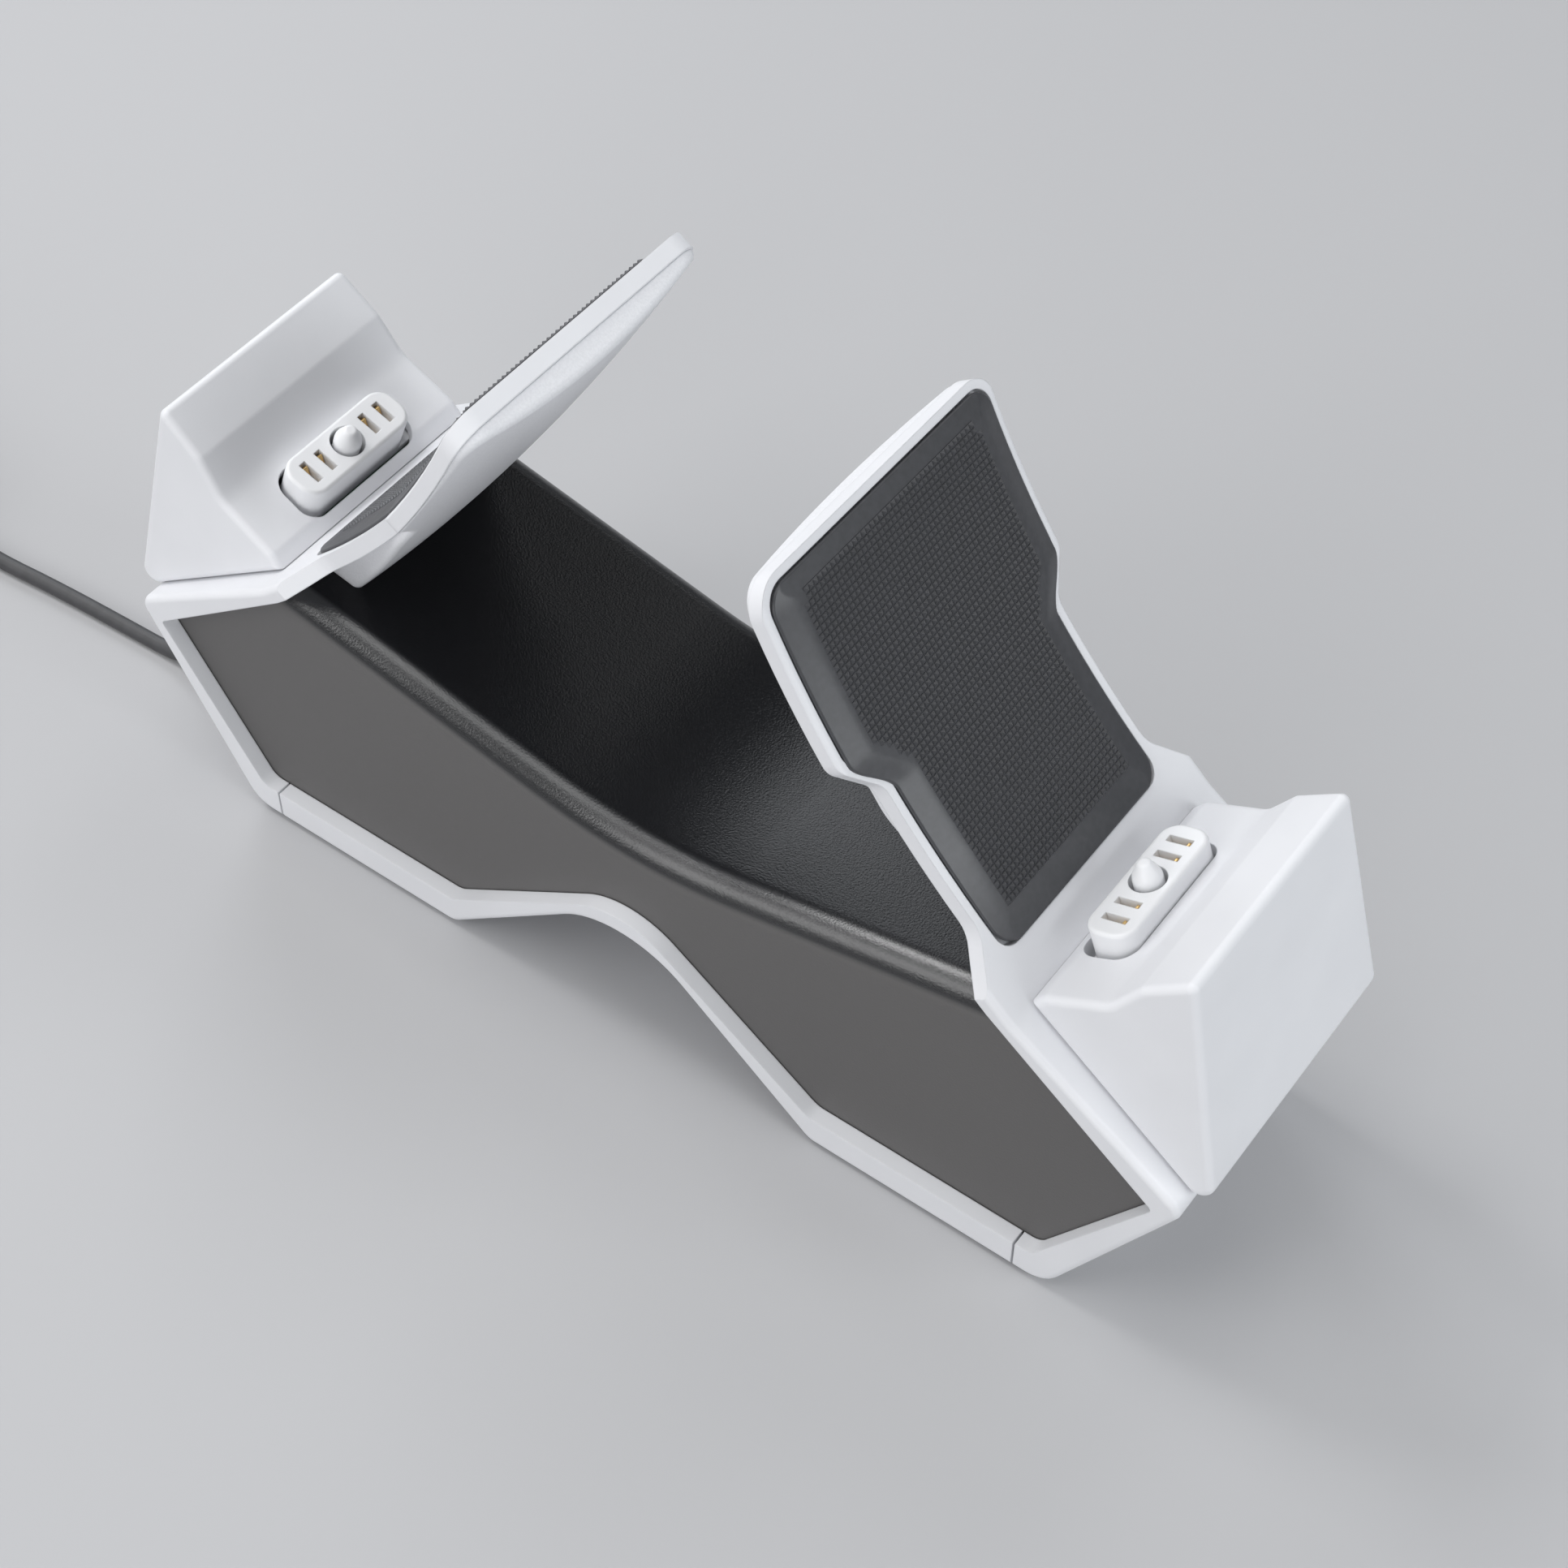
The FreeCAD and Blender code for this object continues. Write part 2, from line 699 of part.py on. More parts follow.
def cradle():
    """White cradle block: a hollow cap on the seat, with the opening for the connector."""
    corners = cradle_corners()
    solid = slab(corners, half).common(tapered(cradle_top_half))
    shape = round_edges(solid, cradle_edge, side_edge)
    inner = inset(corners, cradle_wall)
    near = seat_point(bend[0] + cradle_heel, 0.5)
    room = [seat_point(bend[0] + cradle_heel, -2 * skin), near, inner[1], inner[2], inner[3], inner[4],
            seat_point(tip_corner[0] - 2 * cradle_wall, -2 * skin)]
    shape = shape.cut(slab(room, half).common(tapered(cradle_top_half - cradle_wall)))
    filling = slab(inset(corners, cradle_wall / 2), half).common(tapered(cradle_top_half - cradle_wall / 2))
    for sy in (-1, 1):
        boss = seat_turned([(0.0, fit), (cradle_boss / 2, fit), (cradle_boss / 2, boss_reach),
                            (0.0, boss_reach)], cradle_screw_x, sy * cradle_screw_y)
        shape = shape.fuse(boss.common(filling)).cut(cradle_screw(sy * cradle_screw_y, screw_play))
        y = sy * (plug_length + flange_length) / 4
        press = in_connector(bar(-plug_width / 4, plug_width / 4, y - 0.6, y + 0.6, 0.3,
                                 flange_thick - plug_depth, 0.0))
        shape = shape.fuse(press.common(filling))
    opening_half = plug_length / 2 + opening_ends
    opening = bar(-plug_width / 2 - opening_inner, plug_width / 2 + opening_outer,
                  -opening_half, opening_half, plug_corner, -plug_depth, opening_room)
    return shape.cut(in_connector(opening)).removeSplitter()


def connector():
    """Floating connector block, held between the cradle and the seat by its two end flanges."""
    shape = bar(-plug_width / 2, plug_width / 2, -plug_length / 2, plug_length / 2, plug_corner,
                -plug_depth, 0.0)
    shape = round_edges(shape, plug_edge,
                        lambda e: abs(e.BoundBox.ZMin) < 1e-6 and abs(e.BoundBox.ZMax) < 1e-6)
    shape = shape.fuse(bar(-plug_width / 2, plug_width / 2, -flange_length / 2, flange_length / 2, 1.0,
                           -plug_depth, flange_thick - plug_depth))
    shape = shape.cut(Part.makeCylinder(post_hole / 2, plug_depth + 2.0, vec(0, 0, -plug_depth - 1.0)))
    for place in slot_places:
        for sy in (-1, 1):
            shape = shape.cut(Part.makeBox(slot_length, slot_width, plug_depth + 2.0, vec(
                -slot_length / 2, sy * place - slot_width / 2, -plug_depth - 1.0)))
    return in_connector(shape)


def guide_post():
    """Bullet-shaped post that finds the controller's socket."""
    radius = post_size / 2
    return in_connector(turned([
        (0.0, -plug_depth),
        (radius, -plug_depth),
        (radius, post_height / 4, post_size * 0.6),
        (radius * 0.42, post_height, post_size * 0.15),
        (0.0, post_height),
    ]))


def contacts():
    """Four gold leaf contacts, each with its bump at the outer end of its slot."""
    leaf = rounded([
        (-1.7, -plug_depth), (-1.3, -plug_depth), (-1.3, -3.0, 0.4), (0.45, -2.45, 0.5),
        (1.25, -0.3 - contact_thick, 0.2), (1.75, -1.8), (2.1, -1.6), (1.4, -0.1, 0.35), (0.25, -2.0, 0.5),
        (-1.7, -2.6, 0.5),
    ], lambda a, b: vec(a, -contact_width / 2, b))
    solids = []
    for place in slot_places:
        for sy in (-1, 1):
            strip = Part.Face(leaf).extrude(vec(0, contact_width, 0))
            strip.translate(vec(0, sy * place, 0))
            solids.append(strip)
    return in_connector(Part.makeCompound(solids))


def connector_board():
    """Small board that carries the contacts and the guide post."""
    return in_connector(bar(-plug_width / 2, plug_width / 2, -flange_length / 2, flange_length / 2, 1.0,
                            -plug_depth - board_thick, -plug_depth))


def main_board():
    """Charging board on the four posts of the base."""
    shape = bar(-main_board_size[0] / 2, main_board_size[0] / 2, -main_board_size[1] / 2,
                main_board_size[1] / 2, 1.5, main_board_z, main_board_z + main_board_thick)
    for sx, sy in corner_signs:
        x, y = board_corner(sx, sy)
        hole = Part.makeCylinder(post_pin / 2 + 0.1, main_board_z, vec(x, y, main_board_z - 1.0))
        shape = shape.cut(hole)
    return shape


# The power lead leaves the left flank square to it
lead_floor = lead_size / 2 - lift
flank_out = (-flank_dir[1], -flank_dir[0])
flank_exit = meet((-foot_outer_x, 0.0), (-flank_dir[0], flank_dir[1]), (0.0, sleeve_place[1]), (1.0, 0.0))
sleeve_tip = along(flank_exit, flank_out, sleeve_length)
lead_touch = meet(sleeve_tip, flank_out, (0.0, lead_floor), (1.0, 0.0))


def at_exit(shape):
    """Puts a shape drawn about Z on the left flank, its Z axis pointing out of the flank."""
    shape.rotate(vec(0, 0, 0), vec(0, 1, 0), -90.0 - (90.0 - flank_angle))
    shape.translate(vec(flank_exit[0], sleeve_place[0], flank_exit[1]))
    return shape


def lead_sleeve():
    """Strain relief moulded on the lead: flange inside, collar outside and a ringed taper."""
    inner = -skin - fit - housing_wall
    neck = sleeve_neck / 2
    corners = [(0.0, inner - sleeve_flange[1]), (sleeve_flange[0] / 2, inner - sleeve_flange[1]),
               (sleeve_flange[0] / 2, inner), (neck, inner), (neck, 0.0), (sleeve_collar[0] / 2, 0.0),
               (sleeve_collar[0] / 2, sleeve_collar[1], 0.4)]
    run = sleeve_length - sleeve_collar[1]
    for i in range(sleeve_rings):
        start = sleeve_collar[1] + run * i / sleeve_rings
        radius = (sleeve_neck + (sleeve_end - sleeve_neck) * i / (sleeve_rings - 1)) / 2
        groove = radius - 0.5
        corners += [(groove, start), (groove, start + 0.8), (radius, start + 0.8),
                    (radius, start + run / sleeve_rings)]
    corners.append((0.0, sleeve_length))
    return at_exit(turned(corners))


def sleeve_hole():
    return at_exit(Part.makeCylinder(sleeve_neck / 2 + fit / 2, 4 * skin, vec(0, 0, -3.5 * skin)))


def tube(points, radius):
    """A round cord: straight runs between the points, joined by tangent arcs."""
    edges = []
    start = points[0]
    radii = []
    for before, here, after in zip(points[:-2], points[1:-1], points[2:]):
        u = (before - here).normalize()
        v = (after - here).normalize()
        shorter = min((before - here).Length, (after - here).Length)
        half_turn = (math.pi - u.getAngle(v)) / 2
        bend_radius = 0.45 * shorter / math.tan(half_turn)
        reach = 0.45 * shorter
        w = (u + v).normalize()
        middle = bend_radius / math.cos(half_turn) - bend_radius
        first = here + u * reach
        last = here + v * reach
        edges.append(Part.LineSegment(start, first).toShape())
        edges.append(Part.Arc(first, here + w * middle, last).toShape())
        radii.append(round(bend_radius, 1))
        start = last
    edges.append(Part.LineSegment(start, points[-1]).toShape())
    spine = Part.Wire(edges)
    ring = Part.Wire([Part.makeCircle(radius, points[0], points[1] - points[0])])
    shape = spine.makePipeShell([ring], True, False)
    print("cord arc radii", radii, "length", round(spine.Length, 1), "volume over section times length",
          round(shape.Volume / (math.pi * radius ** 2 * spine.Length), 4))
    return shape


coil_wide = coil_rows * lead_size + coil_slack[0]
coil_tall = coil_rows * lead_size + coil_slack[1]
coil_outer = (coil_middle + coil_wide) / 2
coil_cross = math.sqrt(coil_outer ** 2 - (coil_middle / 2) ** 2)


def power_lead():
    """The lead, from its sleeve over the table to the coil, and from the coil to the plug."""
    points = [vec(sleeve_tip[0], sleeve_place[0], sleeve_tip[1]),
              vec(lead_touch[0], sleeve_place[0], lead_touch[1])]
    points += [vec(x, y, lead_floor) for x, y in lead_points]
    points.append(vec(coil_centre[0] + coil_cross - coil_entry, lead_points[-1][1], lead_floor))
    first = tube(points, lead_size / 2)
    plug_z = plug_body[2] / 2 - lift
    start = vec(coil_centre[0] - coil_middle / 2, coil_centre[1] - coil_cross + coil_entry, lead_floor)
    far = [start, vec(plug_run[0][0], plug_run[0][1], lead_floor)]
    far += [vec(x, y, plug_z) for x, y in plug_run[1:]]
    second = tube(far, lead_size / 2)
    return Part.makeCompound([first, second])


def coil_ring(shrink):
    """The wound coil as one ring with chamfered corners, shrunk on every side."""
    wide = coil_wide / 2 - shrink
    low = -lift + shrink
    high = coil_tall - lift - shrink
    inner = coil_middle / 2 - wide
    outer = coil_middle / 2 + wide
    cut = coil_corner
    shape = turned([(inner, low + cut), (inner + cut, low), (outer - cut, low), (outer, low + cut),
                    (outer, high - cut), (outer - cut, high), (inner + cut, high), (inner, high - cut)])
    shape.translate(vec(coil_centre[0], coil_centre[1], 0))
    return shape


def coil_tie():
    """Strap round the coil, let into it by its own thickness."""
    reach = coil_middle / 2 + coil_wide
    band = Part.makeBox(tie_width, reach, coil_tall * 2, vec(coil_centre[0] - tie_width / 2,
                        coil_centre[1] - reach, -coil_tall))
    return coil_ring(0.0).cut(coil_ring(tie_thick)).common(band)


def lead_plug():
    """Moulded plug at the far end of the lead, with the tongue inside its metal shell."""
    x, y = plug_run[-1]
    low = -lift
    high = plug_body[2] - lift
    middle = (low + high) / 2
    end = x + plug_body[1]
    shape = bar(x, end, y - plug_body[0] / 2, y + plug_body[0] / 2, plug_body_round, low, high)
    root = plug_body_round / 2
    tongue = Part.makeBox(plug_tongue[1] + root, plug_tongue[0], plug_tongue[2],
                          vec(end - root, y - plug_tongue[0] / 2, middle))
    return shape.fuse(tongue)


def plug_sheath():
    """Metal shell of the plug, open at its end."""
    x, y = plug_run[-1]
    start = x + plug_body[1]
    low = plug_body[2] / 2 - lift - plug_shell[2] / 2
    wall = plug_shell_wall
    outer = Part.makeBox(plug_shell[1], plug_shell[0], plug_shell[2],
                         vec(start, y - plug_shell[0] / 2, low))
    inner = Part.makeBox(plug_shell[1] * 2, plug_shell[0] - 2 * wall, plug_shell[2] - 2 * wall,
                         vec(start - wall, y - plug_shell[0] / 2 + wall, low + wall))
    return outer.cut(inner)


pieces = {}
pieces["base_shell"] = base_shell()
pieces["right_side_frame"] = side_frame()
pieces["right_paddle_cover"] = paddle_cover()
pieces["right_grip_pad"] = grip_pad()
pieces["right_cradle"] = cradle()
pieces["right_connector"] = connector()
pieces["right_guide_post"] = guide_post()
pieces["right_contacts"] = contacts()
pieces["right_connector_board"] = connector_board()
pieces["right_cradle_screws"] = Part.makeCompound([
    cradle_screw(sy * cradle_screw_y, 0.0) for sy in (-1, 1)])
for name in list(pieces):
    if name.startswith("right_"):
        pieces[name.replace("right_", "left_")] = mirrored(pieces[name])
pieces["left_side_frame"] = pieces["left_side_frame"].cut(sleeve_hole())
pieces["centre_housing"] = centre_housing().cut(sleeve_hole())
pieces["main_board"] = main_board()
pieces["rubber_feet"] = Part.makeCompound([
    plate(feet_corners(sx, sy, (feet_size[0] - fit, feet_size[1] - fit)), -lift, feet_recess)
    for sx, sy in corner_signs])
pieces["base_screws"] = Part.makeCompound([
    base_screw(sx * place, 0.0) for sx in (-1, 1) for place in base_screws])
pieces["lead_sleeve"] = lead_sleeve()
pieces["power_lead"] = power_lead()
pieces["coil_tie"] = coil_tie()
pieces["lead_coil"] = coil_ring(0.0).cut(pieces["coil_tie"]).cut(pieces["power_lead"])
pieces["lead_plug"] = lead_plug()
pieces["plug_shell"] = plug_sheath()

os.makedirs("parts", exist_ok=True)
for name, shape in pieces.items():
    shape.translate(vec(0, 0, lift))
    shape.exportStep("parts/" + name + ".step")
    print(name, "valid", shape.isValid(), "solids", len(shape.Solids), "volume", round(shape.Volume))
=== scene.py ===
import bpy
import numpy as np
from mathutils import Matrix


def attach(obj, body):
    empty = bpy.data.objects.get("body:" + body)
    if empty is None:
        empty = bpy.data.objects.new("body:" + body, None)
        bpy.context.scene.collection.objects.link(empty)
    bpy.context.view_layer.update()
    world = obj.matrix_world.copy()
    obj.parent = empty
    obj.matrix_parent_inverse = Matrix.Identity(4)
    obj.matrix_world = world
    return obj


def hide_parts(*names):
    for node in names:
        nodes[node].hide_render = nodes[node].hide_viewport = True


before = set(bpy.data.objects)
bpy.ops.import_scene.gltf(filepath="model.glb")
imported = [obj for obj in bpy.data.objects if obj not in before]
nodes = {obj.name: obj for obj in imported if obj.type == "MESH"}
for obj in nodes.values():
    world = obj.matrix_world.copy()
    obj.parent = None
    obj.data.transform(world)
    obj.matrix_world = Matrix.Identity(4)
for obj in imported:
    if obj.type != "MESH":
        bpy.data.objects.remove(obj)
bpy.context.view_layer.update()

# Base, side frames and cradles: white shells, moulded in satin plastic and screwed together
# from below. The mould leaves a fine grain on them, and their sharp edges are slightly round.
shell_white = (0.80, 0.805, 0.83)
shell_tones = ((0.785, 0.79, 0.815), (0.815, 0.82, 0.845))
mould_grain = 5200.0


def new_material(name, colour, roughness, specular=0.5):
    """A Principled material with its constants on its own sockets."""
    material = bpy.data.materials.new(name)
    material.use_nodes = True
    shader = material.node_tree.nodes["Principled BSDF"]
    shader.inputs["Base Color"].default_value = (*colour, 1.0)
    shader.inputs["Roughness"].default_value = roughness
    shader.inputs["Specular IOR Level"].default_value = specular
    return material, material.node_tree, shader


def noise(tree, scale, detail=2.0):
    """Noise over the object's own coordinates, in cells per metre."""
    place = tree.nodes.new("ShaderNodeTexCoord")
    texture = tree.nodes.new("ShaderNodeTexNoise")
    texture.inputs["Scale"].default_value = scale
    texture.inputs["Detail"].default_value = detail
    tree.links.new(place.outputs["Object"], texture.inputs["Vector"])
    return texture.outputs["Fac"]


def ramp(tree, value, low, high, colour_low, colour_high):
    """A colour that runs between two values of its input."""
    band = tree.nodes.new("ShaderNodeValToRGB")
    band.color_ramp.elements[0].position = low
    band.color_ramp.elements[1].position = high
    band.color_ramp.elements[0].color = (*colour_low, 1.0)
    band.color_ramp.elements[1].color = (*colour_high, 1.0)
    tree.links.new(value, band.inputs["Fac"])
    return band.outputs["Color"]


def bump(tree, shader, height, strength, depth, normal=None):
    """Raises the surface by a height texture, its depth in metres."""
    node = tree.nodes.new("ShaderNodeBump")
    node.inputs["Strength"].default_value = strength
    node.inputs["Distance"].default_value = depth
    tree.links.new(height, node.inputs["Height"])
    if normal is not None:
        tree.links.new(normal, node.inputs["Normal"])
    tree.links.new(node.outputs["Normal"], shader.inputs["Normal"])


def softened(tree, radius):
    """A shading normal that rounds the moulding's sharp edges."""
    node = tree.nodes.new("ShaderNodeBevel")
    node.samples = 6
    node.inputs["Radius"].default_value = radius
    return node.outputs["Normal"]


def dress(material, *names):
    """Gives the material to the CAD nodes of these names."""
    for name in names:
        slots = nodes[name].data.materials
        slots.clear()
        slots.append(material)


white, tree, shader = new_material("white_plastic", shell_white, 0.42, 0.4)
tone = ramp(tree, noise(tree, 60.0), 0.3, 0.7, *shell_tones)
tree.links.new(tone, shader.inputs["Base Color"])
bump(tree, shader, noise(tree, mould_grain), 0.25, 0.00004, softened(tree, 0.00035))
dress(white, "base_shell", "left_side_frame", "right_side_frame", "left_cradle", "right_cradle")

# Connectors and guide posts: small mouldings in a lighter and smoother white plastic. Each
# connector is held in its cradle's opening by flanges, and its post stands in a round hole.
connector_white = (0.87, 0.875, 0.89)
clear, tree, shader = new_material("connector_white", connector_white, 0.36, 0.45)
bump(tree, shader, noise(tree, mould_grain), 0.15, 0.00003, softened(tree, 0.0003))
dress(clear, "left_connector", "right_connector", "left_guide_post", "right_guide_post")

# Paddle covers: the crowned backs of the two paddles, moulded in the same white plastic as
# the frames, with a coarser and more matt grain.
cover_tones = ((0.77, 0.775, 0.80), (0.82, 0.825, 0.85))
cover_grain = 3800.0
cover, tree, shader = new_material("cover_plastic", shell_white, 0.5, 0.35)
tone = ramp(tree, noise(tree, 2400.0, 3.0), 0.35, 0.65, *cover_tones)
tree.links.new(tone, shader.inputs["Base Color"])
bump(tree, shader, noise(tree, cover_grain), 0.4, 0.00005, softened(tree, 0.0004))
dress(cover, "left_paddle_cover", "right_paddle_cover")

# Centre housing: one dark moulding between the side frames. Its top is satin and nearly black,
# and the front and back walls below its folds are matt. From the folds down the specular level
# is raised far above the top's, a painted highlight that makes the folds shine.
top_black = (0.005, 0.0052, 0.0064)
wall_grey = (0.089, 0.085, 0.083)
top_roughness, wall_roughness = 0.25, 0.55
# The second level is a painted highlight: the much higher specular level of the folds and walls.
top_shine, fold_highlight_level = 0.2, 1.0
housing_grain = 2700.0
fold_round = 0.0025


def facing_sideways(tree):
    """How far the surface faces the front or the back: the size of its normal's Y."""
    place = tree.nodes.new("ShaderNodeTexCoord")
    split = tree.nodes.new("ShaderNodeSeparateXYZ")
    tree.links.new(place.outputs["Normal"], split.inputs["Vector"])
    size = tree.nodes.new("ShaderNodeMath")
    size.operation = "ABSOLUTE"
    tree.links.new(split.outputs["Y"], size.inputs[0])
    return size.outputs["Value"]


dark, tree, shader = new_material("dark_plastic", (0.012, 0.012, 0.014), 0.34, 0.45)
facing = facing_sideways(tree)
wall = ramp(tree, facing, 0.92, 0.985, top_black, wall_grey)
tree.links.new(wall, shader.inputs["Base Color"])
gloss = ramp(tree, facing, 0.90, 0.985, (top_roughness,) * 3, (wall_roughness,) * 3)
tree.links.new(gloss, shader.inputs["Roughness"])
# Painted highlight: the specular level runs from the top's low one up to a much higher one as the surface
# turns towards the front or back, over the folds and on down the walls.
painted_fold_highlight = ramp(tree, facing, 0.10, 0.28, (top_shine,) * 3, (fold_highlight_level,) * 3)
tree.links.new(painted_fold_highlight, shader.inputs["Specular IOR Level"])
bump(tree, shader, noise(tree, housing_grain), 0.6, 0.00009, softened(tree, fold_round))
dress(dark, "centre_housing")

# Grip pads: each is a rubber moulding seated in the paddle's rim. Its edge stands a little
# proud, a smooth border slopes up from it, and small square pyramids cover the raised field.
rubber_grey = (0.050, 0.051, 0.056)
rubber_tones = ((0.045, 0.046, 0.050), (0.056, 0.057, 0.063))
rubber, tree, shader = new_material("pad_rubber", rubber_grey, 0.38, 0.6)
tone = ramp(tree, noise(tree, 900.0, 3.0), 0.3, 0.7, *rubber_tones)
tree.links.new(tone, shader.inputs["Base Color"])
bump(tree, shader, noise(tree, mould_grain), 0.3, 0.00003)
dress(rubber, "left_grip_pad", "right_grip_pad")

curve_middle = np.array([0.18986, 0.19992])
curve_radius = 0.1773
curve_start = np.radians(227.3)
pad_length = 0.0704
half_low, half_high = 0.0217, 0.02745
notch = (0.0331, 0.0398)
notch_lead = 0.0012
notch_slope = 0.37
foot_corner, head_corner = 0.0045, 0.0042
field_corner = 0.001
pad_edge = 0.0004
edge_round = 0.0004
border = 0.0048
foot_spread, head_spread = 0.92, 1.2
skin_soft, field_soft = 0.65, 0.2
field_places = [0.0, 0.005, 0.016, 0.030, 0.050, 0.066, 0.071]
field_heights = [0.0006, 0.00075, 0.0013, 0.0014, 0.0014, 0.0012, 0.0010]
skin_rows, skin_columns = 181, 121
pyramid_length, pyramid_width, pyramid_height = 0.001092, 0.001067, 0.00052
pyramid_rows, pyramid_columns = 57, 44
first_row = 0.0058


def paddle_point(s, y, h):
    """Points in metres at the distance s up the paddle's curve and y across it.

    The face is an arc about a line along Y, so a point at height h over it lies at
    centre + (R - h) (cos a, sin a) in the XZ plane, with a = a0 - s / R.
    """
    a = curve_start - s / curve_radius
    r = curve_radius - h
    return np.stack([curve_middle[0] + r * np.cos(a), y + 0.0 * a, curve_middle[1] + r * np.sin(a)], -1)


def half_width(s, inwards, soft):
    """Half the pad's width at s, moved inwards: straight, a step at the notch, straight.

    A line moved inwards by d meets its neighbours 0.37 d further up the curve. The step runs
    from 0 to 1 as (1 - soft) k + soft k k (3 - 2 k), so a larger soft rounds its two ends.
    """
    low, high = (end + notch_slope * inwards for end in notch)
    k = np.clip((s - low + notch_lead) / (high - low + notch_lead), 0.0, 1.0)
    k = (1.0 - soft) * k + soft * k * k * (3.0 - 2.0 * k)
    return half_low + (half_high - half_low) * k - inwards


def rounded_half(s, inwards, corner_low, corner_high, soft):
    """The same half width, drawn in by quarter circles at the two ends."""
    low = np.clip((corner_low + inwards - s) / corner_low, 0.0, 1.0)
    high = np.clip((s - (pad_length - inwards) + corner_high) / corner_high, 0.0, 1.0)
    return (half_width(s, inwards, soft) - corner_low * (1.0 - np.sqrt(1.0 - low ** 2))
            - corner_high * (1.0 - np.sqrt(1.0 - high ** 2)))


def field_height(s):
    """How far the field stands over the rim's plane: low at the foot, highest over the middle."""
    return np.interp(s, field_places, field_heights)


def make_mesh(name, points, faces, material, smooth):
    """A mesh object from whole arrays of points and faces."""
    mesh = bpy.data.meshes.new(name)
    mesh.from_pydata(points.reshape(-1, 3).tolist(), [], faces.tolist())
    mesh.polygons.foreach_set("use_smooth", [smooth] * len(mesh.polygons))
    mesh.materials.append(material)
    thing = bpy.data.objects.new(name, mesh)
    bpy.context.collection.objects.link(thing)
    return thing


def grid_faces(rows, columns):
    """The quads of a grid of points, row by row."""
    i, j = np.meshgrid(np.arange(rows - 1), np.arange(columns - 1), indexing="ij")
    first = (i * columns + j).ravel()
    return np.stack([first, first + 1, first + columns + 1, first + columns], -1)


def pad_skin():
    """The pad's smooth surface, as points on a grid of s up the curve and u from -1 to 1 across.

    Its height is edge + (field - edge) f(d / border), with d the distance to the pad's outline
    and f(x) = 0.45 x (2 - x) + 0.55 x x (3 - 2 x), so the border is a soft slope. Within
    edge_round of the outline it falls away by a quarter circle.
    """
    ends = 0.5 - 0.5 * np.cos(np.linspace(0.0, np.pi, skin_rows))
    s = pad_length * ends[:, None]
    u = np.sin(np.linspace(-0.5, 0.5, skin_columns) * np.pi)[None, :]
    half = rounded_half(s, 0.0, foot_corner, head_corner, skin_soft)
    y = u * half
    side = half_width(s, 0.0, skin_soft) - np.abs(y)
    foot, head = s + 0.0 * y, pad_length - s + 0.0 * y
    d = np.minimum(side, np.minimum(foot * foot_spread, head * head_spread))
    corner = half - np.abs(y)
    d = np.minimum(d, corner + 0.0 * s)
    x = np.clip(d / border, 0.0, 1.0)
    slope = 0.45 * x * (2.0 - x) + 0.55 * x * x * (3.0 - 2.0 * x)
    outside = 1.0 - np.clip(d / edge_round, 0.0, 1.0)
    lip = edge_round * (1.0 - np.sqrt(np.clip(1.0 - outside ** 2, 0.0, 1.0)))
    h = pad_edge + (field_height(s) - pad_edge) * slope - lip
    return paddle_point(s + 0.0 * y, y, h), grid_faces(skin_rows, skin_columns)


def pad_diamonds():
    """Square pyramids on the field: four corners of each cell on the skin and an apex over its middle."""
    rows = first_row + pyramid_length * np.arange(pyramid_rows)
    columns = pyramid_width * (np.arange(pyramid_columns) - (pyramid_columns - 1) / 2)
    s, y = np.meshgrid(rows, columns, indexing="ij")
    s, y = s.ravel(), y.ravel()
    inside = np.abs(y) < rounded_half(s, border, field_corner, field_corner, field_soft)
    s, y = s[inside][:, None], y[inside][:, None]
    corner_s = s + pyramid_length / 2 * np.array([[-1.0, -1.0, 1.0, 1.0, 0.0]])
    corner_y = y + pyramid_width / 2 * np.array([[-1.0, 1.0, 1.0, -1.0, 0.0]])
    h = field_height(corner_s) + np.array([[0.0, 0.0, 0.0, 0.0, pyramid_height]])
    points = paddle_point(corner_s, corner_y, h)
    first = 5 * np.arange(len(s))[:, None, None]
    faces = (first + np.array([[0, 1, 4], [1, 2, 4], [2, 3, 4], [3, 0, 4]])[None]).reshape(-1, 3)
    return points, faces


for side_name, sign in (("right", 1.0), ("left", -1.0)):
    for part_name, (points, faces), smooth in (("pad_skin", pad_skin(), True),
                                               ("pad_diamonds", pad_diamonds(), False)):
        placed = points * np.array([sign, 1.0, 1.0])
        turned = faces if sign > 0 else faces[:, ::-1]
        piece = make_mesh(side_name + "_" + part_name, placed, turned, rubber, smooth)
        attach(piece, "root")
        if part_name == "pad_skin":
            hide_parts(side_name + "_grip_pad")

# Contacts: gold-plated spring leaves that stand on the connector boards. The boards, the
# screws and the four rubber feet are out of sight, and plain.
gold_colour = (0.86, 0.60, 0.27)
lacquer_green = (0.02, 0.14, 0.05)
steel_grey = (0.6, 0.6, 0.62)
foot_black = (0.03, 0.03, 0.03)

gold, tree, shader = new_material("gold", gold_colour, 0.28)
shader.inputs["Metallic"].default_value = 1.0
bump(tree, shader, noise(tree, 3000.0), 0.2, 0.00002)
dress(gold, "left_contacts", "right_contacts")

board, tree, shader = new_material("board_lacquer", lacquer_green, 0.35)
bump(tree, shader, noise(tree, 800.0), 0.2, 0.00003)
dress(board, "main_board", "left_connector_board", "right_connector_board")

steel, tree, shader = new_material("screw_steel", steel_grey, 0.35)
shader.inputs["Metallic"].default_value = 1.0
bump(tree, shader, noise(tree, 1500.0), 0.2, 0.00002)
dress(steel, "base_screws", "left_cradle_screws", "right_cradle_screws")

foot, tree, shader = new_material("foot_rubber", foot_black, 0.8)
bump(tree, shader, noise(tree, 2500.0), 0.3, 0.00004)
dress(foot, "rubber_feet")

